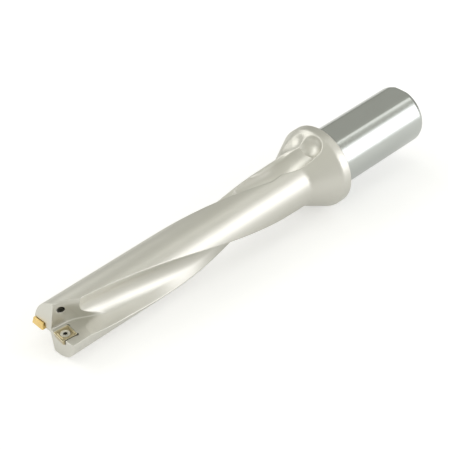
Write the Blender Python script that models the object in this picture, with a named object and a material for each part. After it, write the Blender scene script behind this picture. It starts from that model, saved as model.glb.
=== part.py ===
"""Indexable drill: a fluted steel body with a flanged shank, two square inserts and their screws.

Everything is modelled along the drill's own axis, which is +X from the tip to the shank, with x = 0 at
the rear face of the collar. An empty then lays the axis down as the drill rests: on the collar's rim and
on the lower jaw of the tip. Sizes are in millimetres times MM, so the scene is in metres.
"""

import math

import bmesh
import bpy
from mathutils import Vector

MM = 0.001

# Shank and collar
SHANK_DIAMETER = 25.0 * MM
SHANK_LENGTH = 49.7 * MM
SHANK_TAPER_LENGTH = 1.5 * MM
SHANK_TAPER_DEPTH = 0.6 * MM
FLAT_DEPTH = 1.0 * MM
COLLAR_DIAMETER = 34.4 * MM
COLLAR_WIDTH = 4.0 * MM
COLLAR_CHAMFER = 0.35 * MM
CONE_LENGTH = 12.8 * MM

# Fluted body
BODY_DIAMETER = 21.7 * MM
BODY_LENGTH = 122.3 * MM
TWIST_LEAD = 275.0 * MM
TIP_TWIST_SHARE = 0.34
TWIST_EASE_LENGTH = 59.0 * MM
CENTRE_JAW_LEAN = math.radians(4.5)
OUTER_JAW_LEAN = math.radians(10.5)

# The two flutes: V-shaped with a round bottom, along the helix, and lifted out on an arc at their end
FLUTE_START = 13.0 * MM
TWIST_END = 108.0 * MM
FLUTE_LIFT_FROM = 106.0 * MM
FLUTE_LIFT_RADIUS = 25.6 * MM
FLUTE_END = 127.5 * MM
CENTRE_FLUTE_ANGLE = math.radians(139.3)
CENTRE_FLUTE_OPENING = math.radians(83.0)
CENTRE_FLUTE_FLARE = math.radians(45.0)
CENTRE_FLUTE_BOTTOM = 4.5 * MM
OUTER_FLUTE_ANGLE = math.radians(-44.9)
OUTER_FLUTE_OPENING = math.radians(78.0)
OUTER_FLUTE_FLARE = math.radians(40.0)
OUTER_FLUTE_BOTTOM = 4.3 * MM

# The groove that goes on along the helix from each flute and rises out of the cone
EXIT_GROOVE_RADIUS = 5.6 * MM
EXIT_GROOVE_START = 100.0 * MM
EXIT_GROOVE_RISE_FROM = 110.0 * MM
EXIT_GROOVE_RISE_POWER = 1.5
EXIT_GROOVE_END = 129.3 * MM
EXIT_GROOVE_END_RADIUS = 14.0 * MM
EXIT_GROOVE_DEEPER = 0.4 * MM
EXIT_GROOVE_LAG = math.radians(6.0)

# The shallow hollow beside the outer flute's groove on the cone, between two places on its surface
RELIEF_RADIUS = 9.0 * MM
RELIEF_DEPTH = 0.9 * MM
RELIEF_FIRST_X = -13.0 * MM
RELIEF_FIRST_ANGLE = math.radians(54.0)
RELIEF_LAST_X = -9.9 * MM
RELIEF_LAST_ANGLE = math.radians(86.0)

# The two gullets at the tip, in front of the inserts
CENTRE_WALL = 1.4 * MM
OUTER_WALL = 2.0 * MM
WEB_THICKNESS = 1.2 * MM
GULLET_TURN = math.radians(6.5)
GULLET_STRAIGHT = 6.5 * MM
GULLET_BEND_RADIUS = 12.0 * MM
GULLET_EXIT_ANGLE = math.radians(31.0)
GULLET_FILLET = 0.35 * MM
GULLET_END_LEAN = 3.8 * MM
GULLET_LEAN_HEIGHT = 9.0 * MM

# Inserts
INSERT_SIDE = 6.3 * MM
INSERT_CORNER = 0.4 * MM
INSERT_THICKNESS = 2.3 * MM
INSERT_RELIEF = math.radians(11.0)
INSERT_HOLE_DIAMETER = 2.6 * MM
INSERT_PROUD = 0.15 * MM
CHIP_LAND = 0.22 * MM
CHIP_GROOVE_WIDTH = 0.55 * MM
CHIP_GROOVE_DEPTH = 0.25 * MM
CENTRE_INSERT_AHEAD = 0.65 * MM
CENTRE_INSERT_OFFSET = 3.6 * MM
CENTRE_INSERT_TURN = math.radians(6.5)
OUTER_INSERT_AHEAD = 1.25 * MM
DRILL_DIAMETER = 22.0 * MM
OUTER_INSERT_TURN = math.radians(2.0)
SEAT_GAP = 0.25 * MM
OUTER_INSERT_SLIT = 0.35 * MM
CORNER_RELIEF_RADIUS = 0.7 * MM

# Insert screws
SCREW_HEAD_DIAMETER = 3.7 * MM
SCREW_HEAD_ANGLE = math.radians(60.0)
SCREW_SHANK_DIAMETER = 2.2 * MM
SCREW_LENGTH = 3.9 * MM
SCREW_SUNK = 0.15 * MM
SCREW_GAP = 0.15 * MM
SCREW_RIM = 0.12 * MM
SCREW_POINT = 0.35 * MM
SOCKET_DIAMETER = 1.9 * MM
SOCKET_LOBE = 0.17 * MM
SOCKET_DEPTH = 0.8 * MM
SOCKET_LOBES = 6

# Coolant supply: one bore in the shank, and a twisted channel along each land to its gullet wall
INLET_DIAMETER = 9.0 * MM
INLET_CHAMFER = 0.8 * MM
INLET_END = -9.0 * MM
CHANNEL_DIAMETER = 2.8 * MM
CHANNEL_CENTRE_RADIUS = 6.5 * MM
CHANNEL_START_RADIUS = 2.8 * MM
CHANNEL_SPREAD = 16.0 * MM
EXIT_BACK = 5.0 * MM
EXIT_HEIGHT = 7.0 * MM
EXIT_LENGTH = 5.0 * MM

# Facets
TURNED_STEPS = 120
FLUTE_STATION = 2.6 * MM
GROOVE_ARC_STEP = math.radians(10.0)
GROOVE_SIDE_STEPS = 4
GULLET_HEIGHT_STEPS = 6
NOSE_STEPS = 7
NOSE_END_SHARE = 0.12
GULLET_BEND_STEPS = 6
FILLET_STEPS = 3
RELIEF_SIDES = 48
SOCKET_SIDES = 36
SQUARE_SIDE_STEPS = 5
CHANNEL_SIDES = 10
CORNER_STEPS = 4
CUT_MARGIN = 2.0 * MM

# Derived places along the axis
COLLAR_FRONT = -COLLAR_WIDTH
CONE_FRONT = COLLAR_FRONT - CONE_LENGTH
TIP = CONE_FRONT - BODY_LENGTH
BODY_RADIUS = BODY_DIAMETER / 2
COLLAR_RADIUS = COLLAR_DIAMETER / 2
SHANK_RADIUS = SHANK_DIAMETER / 2
FULL_TWIST = 2 * math.pi / TWIST_LEAD

# Placement on the ground
TIP_CONTACT = TIP + BODY_RADIUS * math.tan(CENTRE_JAW_LEAN)
REST_TILT = math.atan((COLLAR_RADIUS - BODY_RADIUS) / (COLLAR_FRONT - TIP_CONTACT))


def clear_scene():
    """Empty the startup scene."""
    for old in list(bpy.data.objects):
        bpy.data.objects.remove(old)


def make_material(name, colour, roughness, metallic):
    """A Principled material in one colour."""
    material = bpy.data.materials.new(name)
    material.use_nodes = True
    shader = material.node_tree.nodes["Principled BSDF"]
    shader.inputs["Base Color"].default_value = (*colour, 1.0)
    shader.inputs["Roughness"].default_value = roughness
    shader.inputs["Metallic"].default_value = metallic
    return material


def add_object(name, mesh_data, parent, material=None):
    """Turn a bmesh into a named object under its parent."""
    bmesh.ops.recalc_face_normals(mesh_data, faces=mesh_data.faces)
    mesh = bpy.data.meshes.new(name)
    mesh_data.to_mesh(mesh)
    mesh_data.free()
    made = bpy.data.objects.new(name, mesh)
    bpy.context.scene.collection.objects.link(made)
    made.parent = parent
    if material:
        mesh.materials.append(material)
        mesh.shade_smooth()
        mesh.set_sharp_from_angle(angle=math.radians(28))
    return made


def as_cutter(made):
    """Keep an object out of the model: it only shapes others."""
    made.hide_render = True
    made.display_type = "WIRE"
    return made


def cut(target, cutter):
    """Subtract a cutter with an exact Boolean."""
    modifier = target.modifiers.new(cutter.name, "BOOLEAN")
    modifier.operation = "DIFFERENCE"
    modifier.solver = "EXACT"
    modifier.object = as_cutter(cutter)


def turned(name, profile, parent, material=None, steps=TURNED_STEPS):
    """Spin a profile of (x, radius) points, from axis to axis, round the X axis, with a flat facet below."""
    shape = bmesh.new()
    points = [shape.verts.new(polar(x, radius, math.pi / 2 + math.pi / steps)) for x, radius in profile]
    edges = [shape.edges.new(pair) for pair in zip(points, points[1:])]
    bmesh.ops.spin(
        shape,
        geom=points + edges,
        cent=(0, 0, 0),
        axis=(1, 0, 0),
        angle=2 * math.pi,
        steps=steps,
        use_merge=True,
    )
    bmesh.ops.remove_doubles(shape, verts=shape.verts, dist=1e-7)
    return add_object(name, shape, parent, material)


def lofted(name, rings, parent, material=None):
    """Join rings of equal point counts into one closed skin with a cap at each end."""
    shape = bmesh.new()
    loops = [[shape.verts.new(point) for point in ring] for ring in rings]
    for before, after in zip(loops, loops[1:]):
        for i, vertex in enumerate(before):
            following = (i + 1) % len(before)
            shape.faces.new((vertex, before[following], after[following], after[i]))
    shape.faces.new(loops[0])
    shape.faces.new(loops[-1])
    return add_object(name, shape, parent, material)


def prism(name, outline, low, high, parent, to_point):
    """Extrude a flat outline from low to high. to_point places (a, b, height) in space."""
    rings = [[to_point(a, b, height) for a, b in outline] for height in (low, high)]
    return lofted(name, rings, parent)


def polar(x, radius, angle):
    """A point at a radius and an angle round the X axis, where 0 is +Y and 90 degrees is +Z."""
    return Vector((x, radius * math.cos(angle), radius * math.sin(angle)))


def helix_angle(angle_at_tip, x):
    """Where a line that twists with the flutes stands at x. The twist eases in behind the tip."""
    along = x - TIP
    eased = min(along, TWIST_EASE_LENGTH)
    gained = TIP_TWIST_SHARE * eased + (1 - TIP_TWIST_SHARE) * eased**2 / (2 * TWIST_EASE_LENGTH)
    return angle_at_tip + FULL_TWIST * (gained + along - eased)


def groove_section(x, angle, centre, radius, flare):
    """A groove's section across the axis: a round bottom whose tangent sides open by the flare each."""
    outwards = polar(0, 1, angle)
    sideways = polar(0, 1, angle + math.pi / 2)
    origin = Vector((x, 0, 0))
    outer = COLLAR_RADIUS + CUT_MARGIN
    half_arc = math.pi / 2 - flare
    steps = math.ceil(2 * half_arc / GROOVE_ARC_STEP)
    section = []
    for step in range(steps + 1):
        turn = half_arc - 2 * half_arc * step / steps
        section.append((centre - radius * math.cos(turn), radius * math.sin(turn)))
    for end in (section[0], section[-1]):
        side = math.copysign(1, end[1])
        for step in range(1, GROOVE_SIDE_STEPS + 1):
            reach = (outer - end[0]) * step / GROOVE_SIDE_STEPS
            point = (end[0] + reach, end[1] + side * reach * math.tan(flare))
            section.insert(0 if side > 0 else len(section), point)
    return [origin + outwards * along + sideways * across for along, across in section]


def nosed(stations, radius, flare):
    """Sections through (x, angle, centre) stations, with a ball nose before the first and after the last."""
    rings = []
    nose = [0.5 * math.pi * (step - NOSE_END_SHARE) / NOSE_STEPS for step in range(1, NOSE_STEPS + 1)]
    x, angle, centre = stations[0]
    for turn in reversed(nose):
        before = x - radius * math.sin(turn)
        rings.append(groove_section(before, angle, centre, radius * math.cos(turn), flare))
    for x, angle, centre in stations:
        rings.append(groove_section(x, angle, centre, radius, flare))
    for turn in nose:
        after = x + radius * math.sin(turn)
        rings.append(groove_section(after, angle, centre, radius * math.cos(turn), flare))
    return rings


def spread(start, end, spacing):
    """Even places from start to end, about one spacing apart."""
    count = max(2, round((end - start) / spacing))
    return [start + (end - start) * step / count for step in range(count + 1)]


def flute_centre(opening, flare, bottom):
    """How far from the axis the round bottom's centre lies, for this opening at the body's surface."""
    lean_in = math.sin(opening / 2 - flare)
    return (bottom - BODY_RADIUS * lean_in) / math.sin(flare)


def flute_cutter(name, angle_at_tip, opening, flare, bottom, parent):
    """One flute: along the helix, then lifted out of the cone on an arc."""
    first = flute_centre(opening, flare, bottom)
    stations = []
    for x in spread(TIP + FLUTE_START, TIP + FLUTE_END, FLUTE_STATION):
        lifted = max(0.0, x - TIP - FLUTE_LIFT_FROM)
        centre = first + lifted**2 / (2 * FLUTE_LIFT_RADIUS)
        stations.append((x, helix_angle(angle_at_tip, min(x, TIP + TWIST_END)), centre))
    return lofted(name, nosed(stations, bottom, flare), parent)


def exit_groove_cutter(name, angle_at_tip, opening, flare, bottom, parent):
    """The groove that goes on along the helix and rises out of the cone."""
    first = flute_centre(opening, flare, bottom) - bottom + EXIT_GROOVE_RADIUS - EXIT_GROOVE_DEEPER
    stations = []
    for x in spread(TIP + EXIT_GROOVE_START, TIP + EXIT_GROOVE_END, FLUTE_STATION):
        rise = max(0.0, (x - TIP - EXIT_GROOVE_RISE_FROM) / (EXIT_GROOVE_END - EXIT_GROOVE_RISE_FROM))
        centre = first + (EXIT_GROOVE_END_RADIUS - first) * rise**EXIT_GROOVE_RISE_POWER
        stations.append((x, helix_angle(angle_at_tip - EXIT_GROOVE_LAG, x), centre))
    return lofted(name, nosed(stations, EXIT_GROOVE_RADIUS, 0), parent)


def relief_cutter(name, parent):
    """A round-ended hollow between two places on the cone, sunk to its depth along the cone's normal."""
    cone_angle = math.atan2(COLLAR_RADIUS - BODY_RADIUS, CONE_LENGTH)
    lift = RELIEF_RADIUS - RELIEF_DEPTH
    ends = []
    for x, angle in ((RELIEF_FIRST_X, RELIEF_FIRST_ANGLE), (RELIEF_LAST_X, RELIEF_LAST_ANGLE)):
        radius = BODY_RADIUS + (x - CONE_FRONT) * math.tan(cone_angle)
        ends.append(polar(x - lift * math.sin(cone_angle), radius + lift * math.cos(cone_angle), angle))
    way = ends[1] - ends[0]
    facing = way.to_track_quat("Z", "Y")
    turns = [0.5 * math.pi * (step - NOSE_END_SHARE) / NOSE_STEPS for step in range(1, NOSE_STEPS + 1)]
    heights = [(0, -math.sin(turn), math.cos(turn)) for turn in reversed(turns)]
    heights += [(0, 0, 1), (1, 0, 1)]
    heights += [(1, math.sin(turn), math.cos(turn)) for turn in turns]
    rings = []
    for end, along, across in heights:
        ring = []
        for step in range(RELIEF_SIDES):
            bearing = 2 * math.pi * step / RELIEF_SIDES
            spoke = Vector((math.cos(bearing) * across, math.sin(bearing) * across, along)) * RELIEF_RADIUS
            ring.append(ends[end] + facing @ spoke)
        rings.append(ring)
    return lofted(name, rings, parent)


def gullet_plan(wall, side, height):
    """A gullet's outline at a height above its floor: a wall that turns outwards behind the insert."""
    outer = BODY_RADIUS + CUT_MARGIN
    share = min(1.0, height / GULLET_LEAN_HEIGHT)
    straight = GULLET_STRAIGHT - GULLET_END_LEAN * share * share * (3 - 2 * share)
    slope = math.tan(GULLET_TURN)
    bend_x = TIP + straight
    bend_y = wall - side * straight * slope
    plan = [(TIP - CUT_MARGIN, wall + side * CUT_MARGIN * slope)]
    for step in range(GULLET_BEND_STEPS + 1):
        turn = GULLET_TURN + (GULLET_EXIT_ANGLE - GULLET_TURN) * step / GULLET_BEND_STEPS
        ahead = GULLET_BEND_RADIUS * (math.sin(turn) - math.sin(GULLET_TURN))
        aside = GULLET_BEND_RADIUS * (math.cos(GULLET_TURN) - math.cos(turn))
        plan.append((bend_x + ahead, bend_y - side * aside))
    last_x, last_y = plan[-1]
    reach = outer + side * last_y
    plan.append((last_x + reach / math.tan(GULLET_EXIT_ANGLE), -side * outer))
    plan.append((TIP - CUT_MARGIN, -side * outer))
    return plan


def gullet_cutter(name, wall, floor, side, parent):
    """The quarter cut out in front of an insert: a flat floor and a wall, with a fillet between them.

    side is 1 for the upper gullet on the -Y side, and -1 for the same shape turned half round the axis.
    """
    outer = BODY_RADIUS + CUT_MARGIN
    heights = [outer * step / GULLET_HEIGHT_STEPS for step in range(GULLET_HEIGHT_STEPS + 1)]
    rings = []
    for height in heights:
        rings.append([(x, y, floor + side * height) for x, y in gullet_plan(wall, side, height)])
    made = lofted(name, rings, parent)
    shape = bmesh.new()
    shape.from_mesh(made.data)
    base = []
    for edge in shape.edges:
        ends = [vertex.co for vertex in edge.verts]
        on_floor = all(abs(end.z - floor) < 1e-7 for end in ends)
        at_outside = all(abs(end.y + side * outer) < 1e-6 for end in ends)
        at_front = all(abs(end.x - TIP + CUT_MARGIN) < 1e-7 for end in ends)
        if on_floor and not at_outside and not at_front:
            base.append(edge)
    bmesh.ops.bevel(
        shape,
        geom=base,
        offset=GULLET_FILLET,
        segments=FILLET_STEPS,
        profile=0.5,
        affect="EDGES",
    )
    shape.to_mesh(made.data)
    shape.free()
    return made


def rounded_square(side, corner, height):
    """A square outline with round corners, as points in its own plane at a height."""
    half = side / 2 - corner
    ring = []
    for quarter in range(4):
        middle = Vector((half, half, 0))
        for step in range(CORNER_STEPS + 1):
            turn = 0.5 * math.pi * step / CORNER_STEPS
            spoke = Vector((math.cos(turn), math.sin(turn), 0)) * corner
            point = middle + spoke
            ring.append(Vector((point.x, point.y, 0)))
        for k in range(len(ring) - CORNER_STEPS - 1, len(ring)):
            x, y = ring[k].x, ring[k].y
            for _ in range(quarter):
                x, y = -y, x
            ring[k] = Vector((x, y, height))
    return ring


def even_square(side, corner, height):
    """The rounded square with each straight side split, so that it can meet a round hole smoothly."""
    ring = rounded_square(side, corner, height)
    even = []
    for i, point in enumerate(ring):
        following = ring[(i + 1) % len(ring)]
        even.append(point)
        if (i + 1) % (CORNER_STEPS + 1) == 0:
            even.extend(point.lerp(following, k / SQUARE_SIDE_STEPS) for k in range(1, SQUARE_SIDE_STEPS))
    return even


def round_ring(like, diameter, height):
    """A circle with its points at the same bearings as another ring."""
    ring = []
    for point in like:
        bearing = math.atan2(point.y, point.x)
        ring.append(Vector((math.cos(bearing), math.sin(bearing), 0)) * diameter / 2 + Vector((0, 0, height)))
    return ring


def seat_depth(diameter, hole, angle):
    """How deep a countersink of this mouth goes before it meets its hole."""
    return (diameter - hole) / 2 / math.tan(angle / 2)


def build_insert(name, parent, material):
    """A square insert: edge land, chip groove, plateau, countersunk hole and relieved flanks."""
    mouth = SCREW_HEAD_DIAMETER + 2 * SCREW_GAP
    groove_start = INSERT_SIDE - 2 * CHIP_LAND
    groove_middle = groove_start - CHIP_GROOVE_WIDTH
    groove_end = groove_start - 2 * CHIP_GROOVE_WIDTH
    foot = INSERT_SIDE - 2 * INSERT_THICKNESS * math.tan(INSERT_RELIEF)
    plateau = -CHIP_GROOVE_DEPTH / 3
    top = even_square(INSERT_SIDE, INSERT_CORNER, 0)
    sunk = plateau - seat_depth(mouth, INSERT_HOLE_DIAMETER, SCREW_HEAD_ANGLE)
    bottom = even_square(foot, INSERT_CORNER, -INSERT_THICKNESS)
    rings = [
        round_ring(top, INSERT_HOLE_DIAMETER, -INSERT_THICKNESS),
        bottom,
        top,
        even_square(groove_start, INSERT_CORNER, 0),
        even_square(groove_middle, INSERT_CORNER, -CHIP_GROOVE_DEPTH),
        even_square(groove_end, INSERT_CORNER, plateau),
        round_ring(top, mouth, plateau),
        round_ring(top, INSERT_HOLE_DIAMETER, sunk),
    ]
    shape = bmesh.new()
    loops = [[shape.verts.new(point) for point in ring] for ring in rings]
    for before, after in zip(loops, loops[1:] + loops[:1]):
        for i, vertex in enumerate(before):
            following = (i + 1) % len(before)
            shape.faces.new((vertex, before[following], after[following], after[i]))
    return add_object(name, shape, parent, material)


def build_screw(name, parent, material):
    """A countersunk screw with a six-lobe socket. Its head's top is at the origin and its axis is X."""
    head = SCREW_HEAD_DIAMETER / 2
    neck = SCREW_SHANK_DIAMETER / 2
    cone = seat_depth(SCREW_HEAD_DIAMETER, SCREW_SHANK_DIAMETER, SCREW_HEAD_ANGLE)
    profile = [
        (0, 0),
        (0, head - SCREW_RIM),
        (SCREW_RIM, head),
        (SCREW_RIM + cone, neck),
        (SCREW_LENGTH - SCREW_POINT, neck),
        (SCREW_LENGTH, neck - SCREW_POINT),
        (SCREW_LENGTH, 0),
    ]
    made = turned(name, profile, parent, material, steps=32)
    lobes = []
    for step in range(SOCKET_SIDES):
        bearing = 2 * math.pi * step / SOCKET_SIDES
        radius = SOCKET_DIAMETER / 2 - SOCKET_LOBE + SOCKET_LOBE * math.cos(SOCKET_LOBES * bearing)
        lobes.append((radius * math.cos(bearing), radius * math.sin(bearing)))
    cut(made, prism(
        name + "_socket", lobes, -SCREW_RIM, SOCKET_DEPTH, made, lambda a, b, height: (height, a, b)
    ))
    return made


def insert_frame(centre_x, centre_y, turn, seat_face, side, parent, name):
    """An empty on the insert's top face. side is 1 with the face up, and -1 with it down."""
    frame = bpy.data.objects.new(name, None)
    bpy.context.scene.collection.objects.link(frame)
    frame.parent = parent
    frame.location = (centre_x, centre_y, seat_face + side * INSERT_PROUD)
    frame.rotation_euler = (0 if side > 0 else math.pi, 0, turn)
    return frame


def pocket_cutter(name, frame, open_side, slit):
    """The seat under an insert: its tapered outline with a gap, run out at its front and at an open side.

    slit widens the gap on the side towards the drill's axis.
    """
    run_out = INSERT_SIDE
    rise = INSERT_PROUD + CUT_MARGIN
    depth = INSERT_THICKNESS + SEAT_GAP
    rings = []
    for height in (-depth, rise):
        half = INSERT_SIDE / 2 + SEAT_GAP + height * math.tan(INSERT_RELIEF)
        low_x = -half - run_out
        low_y = -half - (run_out if open_side else 0)
        high_y = half + slit
        corners = ((low_x, low_y), (half, low_y), (half, high_y), (low_x, high_y))
        rings.append([(x, y, height) for x, y in corners])
    return lofted(name, rings, frame)


def round_cutter(name, start, end, diameter, parent, sides=20):
    """A straight round hole from one point to another."""
    start, end = Vector(start), Vector(end)
    way = end - start
    facing = way.to_track_quat("Z", "Y")
    rings = []
    for origin in (start, end):
        ring = []
        for step in range(sides):
            bearing = 2 * math.pi * step / sides
            spoke = Vector((math.cos(bearing), math.sin(bearing), 0)) * diameter / 2
            ring.append(origin + facing @ spoke)
        rings.append(ring)
    return lofted(name, rings, parent)


def land_angle(side, x):
    """The middle of a land at x: side 1 is the land above the centre insert, -1 the one below it."""
    centre_edge = CENTRE_FLUTE_ANGLE - side * CENTRE_FLUTE_OPENING / 2
    outer_edge = OUTER_FLUTE_ANGLE + side * OUTER_FLUTE_OPENING / 2 + (0 if side > 0 else 2 * math.pi)
    return helix_angle((centre_edge + outer_edge) / 2, x)


def channel_radius(x):
    """A channel leaves the inlet near the axis and spreads to its place in the land."""
    share = min(1.0, max(0.0, (INLET_END - x) / CHANNEL_SPREAD))
    eased = share * share * (3 - 2 * share)
    return CHANNEL_START_RADIUS + (CHANNEL_CENTRE_RADIUS - CHANNEL_START_RADIUS) * eased


def channel_cutter(name, side, end, parent):
    """A coolant channel twisted with the land, from the inlet bore to near the tip."""
    begin = INLET_END + CUT_MARGIN
    stations = round((begin - end) / (2 * FLUTE_STATION))
    rings = []
    for station in range(stations + 1):
        x = begin + (end - begin) * station / stations
        middle = polar(x, channel_radius(x), land_angle(side, x))
        ring = []
        for step in range(CHANNEL_SIDES):
            bearing = 2 * math.pi * step / CHANNEL_SIDES
            ring.append(middle + polar(0, CHANNEL_DIAMETER / 2, bearing))
        rings.append(ring)
    return lofted(name, rings, parent)


def build_body(parent, material, frames):
    """The steel body, turned in one piece and then milled, bored and drilled."""
    taper_start = SHANK_LENGTH - SHANK_TAPER_LENGTH
    blank_front = TIP - CUT_MARGIN / 2
    profile = [
        (blank_front, 0),
        (blank_front, BODY_RADIUS),
        (CONE_FRONT, BODY_RADIUS),
        (COLLAR_FRONT, COLLAR_RADIUS),
        (-COLLAR_CHAMFER, COLLAR_RADIUS),
        (0, COLLAR_RADIUS - COLLAR_CHAMFER),
        (0, SHANK_RADIUS),
        (taper_start, SHANK_RADIUS),
        (SHANK_LENGTH, SHANK_RADIUS - SHANK_TAPER_DEPTH),
        (SHANK_LENGTH, 0),
    ]
    body = turned("drill_body", profile, parent, material)

    centre = (CENTRE_FLUTE_ANGLE, CENTRE_FLUTE_OPENING, CENTRE_FLUTE_FLARE, CENTRE_FLUTE_BOTTOM)
    outer = (OUTER_FLUTE_ANGLE, OUTER_FLUTE_OPENING, OUTER_FLUTE_FLARE, OUTER_FLUTE_BOTTOM)
    for name, flute in (("centre", centre), ("outer", outer)):
        cut(body, flute_cutter(name + "_flute", *flute, parent))
        cut(body, exit_groove_cutter(name + "_exit_groove", *flute, parent))
    cut(body, relief_cutter("cone_relief", parent))
    cut(body, gullet_cutter("centre_gullet", CENTRE_WALL, 0, 1, parent))
    cut(body, gullet_cutter("outer_gullet", OUTER_WALL, -WEB_THICKNESS, -1, parent))

    reach = BODY_RADIUS + CUT_MARGIN
    ahead = blank_front - CUT_MARGIN
    roof = [
        (ahead, -reach),
        (TIP + reach * math.tan(CENTRE_JAW_LEAN), -reach),
        (TIP, 0),
        (TIP + reach * math.tan(OUTER_JAW_LEAN), reach),
        (ahead, reach),
    ]
    cut(body, prism("front_faces", roof, -reach, reach, parent, lambda a, b, height: (a, height, b)))

    for name, frame, open_side, slit in frames:
        cut(body, pocket_cutter(name + "_pocket", frame, open_side, slit))
        floor = -INSERT_THICKNESS
        half = INSERT_SIDE / 2 + SEAT_GAP - INSERT_THICKNESS * math.tan(INSERT_RELIEF)
        for side in (-1, 1):
            if open_side and side < 0:
                continue
            low = (half, side * half, floor - SEAT_GAP)
            high = (half, side * half, CUT_MARGIN)
            diameter = 2 * CORNER_RELIEF_RADIUS
            cut(body, round_cutter(name + "_corner_relief", low, high, diameter, frame, sides=16))
        hole = SCREW_SHANK_DIAMETER + 2 * SCREW_GAP
        cut(body, round_cutter(name + "_screw_hole", (0, 0, floor + SEAT_GAP),
                               (0, 0, -SCREW_LENGTH - SCREW_SUNK - 2 * SEAT_GAP), hole, frame))

    inlet = [
        (INLET_END, 0),
        (INLET_END, INLET_DIAMETER / 2),
        (SHANK_LENGTH - INLET_CHAMFER, INLET_DIAMETER / 2),
        (SHANK_LENGTH + CUT_MARGIN, INLET_DIAMETER / 2 + INLET_CHAMFER + CUT_MARGIN),
        (SHANK_LENGTH + CUT_MARGIN, 0),
    ]
    cut(body, turned("coolant_inlet", inlet, parent, steps=48))
    for name, side, wall, floor in (("upper", 1, CENTRE_WALL, 0), ("lower", -1, OUTER_WALL, -WEB_THICKNESS)):
        joint_x = TIP + EXIT_BACK + EXIT_LENGTH
        cut(body, channel_cutter(name + "_channel", side, joint_x, parent))
        joint = polar(joint_x, CHANNEL_CENTRE_RADIUS, land_angle(side, joint_x))
        wall_there = wall - side * EXIT_BACK * math.tan(GULLET_TURN)
        mouth = Vector((TIP + EXIT_BACK, wall_there, floor + side * EXIT_HEIGHT))
        way = (mouth - joint).normalized()
        inner = joint - way * CHANNEL_DIAMETER / 4
        outside = mouth + way * CUT_MARGIN
        cut(body, round_cutter(name + "_exit", inner, outside, CHANNEL_DIAMETER, parent, sides=16))

    level = SHANK_RADIUS - FLAT_DEPTH
    end = SHANK_LENGTH + CUT_MARGIN
    flat = [(0, level), (end, level), (end, 2 * level), (0, 2 * level)]
    cut(body, prism(
        "shank_flat", flat, -SHANK_RADIUS, SHANK_RADIUS, parent, lambda a, b, height: (a, height, b)
    ))
    return body


def main():
    clear_scene()
    steel = make_material("nickel_plated_steel", (0.50, 0.49, 0.45), 0.38, 1.0)
    coating = make_material("gold_coating", (0.72, 0.60, 0.30), 0.35, 1.0)
    screw_steel = make_material("screw_steel", (0.70, 0.68, 0.62), 0.30, 1.0)

    front = OUTER_INSERT_AHEAD - TIP
    rear = SHANK_LENGTH
    axis = bpy.data.objects.new("drill_axis", None)
    bpy.context.scene.collection.objects.link(axis)
    axis.rotation_euler = (0, -REST_TILT, 0)
    rise = COLLAR_RADIUS * math.cos(REST_TILT) - COLLAR_FRONT * math.sin(REST_TILT)
    heel = (SHANK_RADIUS - SHANK_TAPER_DEPTH) * math.sin(REST_TILT)
    axis.location = ((front * math.cos(REST_TILT) - rear * math.cos(REST_TILT) - heel) / 2, 0, rise)

    half = INSERT_SIDE / 2
    centre_frame = insert_frame(TIP - CENTRE_INSERT_AHEAD + half, -CENTRE_INSERT_OFFSET, -CENTRE_INSERT_TURN,
                                0, 1, axis, "centre_insert_seat")
    outer_y = DRILL_DIAMETER / 2 - half * math.cos(OUTER_INSERT_TURN)
    outer_frame = insert_frame(TIP - OUTER_INSERT_AHEAD + half, outer_y, -OUTER_INSERT_TURN,
                               -WEB_THICKNESS, -1, axis, "outer_insert_seat")
    seats = (("centre", centre_frame, False, 0), ("outer", outer_frame, True, OUTER_INSERT_SLIT))
    build_body(axis, steel, seats)
    for name, frame in (("centre_insert", centre_frame), ("outer_insert", outer_frame)):
        build_insert(name, frame, coating)
        screw = build_screw(name + "_screw", frame, screw_steel)
        screw.location = (0, 0, -SCREW_SUNK)
        screw.rotation_euler = (0, math.pi / 2, 0)


main()
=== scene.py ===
"""Looks of the indexable drill: satin nickel body, ground shank, gold inserts and bright screws.

Shapes are worked out in the drill's own axes in millimetres: +X runs from the tip to the shank, x = 0 is
the collar's rear face, and an angle of 0 is +Y and of 90 degrees is +Z. Lying lays them down in the frame.
"""

import logging
import math
from dataclasses import dataclass, field
from enum import Enum
from typing import Callable, Sequence

import bpy
import numpy as np
from mathutils import Matrix, Vector


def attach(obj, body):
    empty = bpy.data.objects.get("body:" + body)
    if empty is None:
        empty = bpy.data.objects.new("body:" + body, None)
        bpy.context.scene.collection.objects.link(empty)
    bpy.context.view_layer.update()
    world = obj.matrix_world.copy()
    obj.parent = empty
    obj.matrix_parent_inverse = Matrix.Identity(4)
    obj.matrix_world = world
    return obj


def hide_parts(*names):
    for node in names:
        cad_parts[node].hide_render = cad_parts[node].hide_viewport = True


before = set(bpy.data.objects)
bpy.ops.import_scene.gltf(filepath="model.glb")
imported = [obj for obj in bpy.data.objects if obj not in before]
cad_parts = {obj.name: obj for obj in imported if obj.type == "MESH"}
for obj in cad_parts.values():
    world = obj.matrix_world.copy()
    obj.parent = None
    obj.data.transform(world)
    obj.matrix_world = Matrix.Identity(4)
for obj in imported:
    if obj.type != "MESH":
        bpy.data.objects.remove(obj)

LOG = logging.getLogger("drill")
MM = 0.001
Array = np.ndarray
Places = tuple[Array, Array, Array]
Field = Callable[[Array, Array, Array], Array]
Point = tuple[float, float, float]


class Side(Enum):
    """The two cutting sides: the centre insert faces up, the outer one faces down."""

    CENTRE = 1
    OUTER = -1


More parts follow.
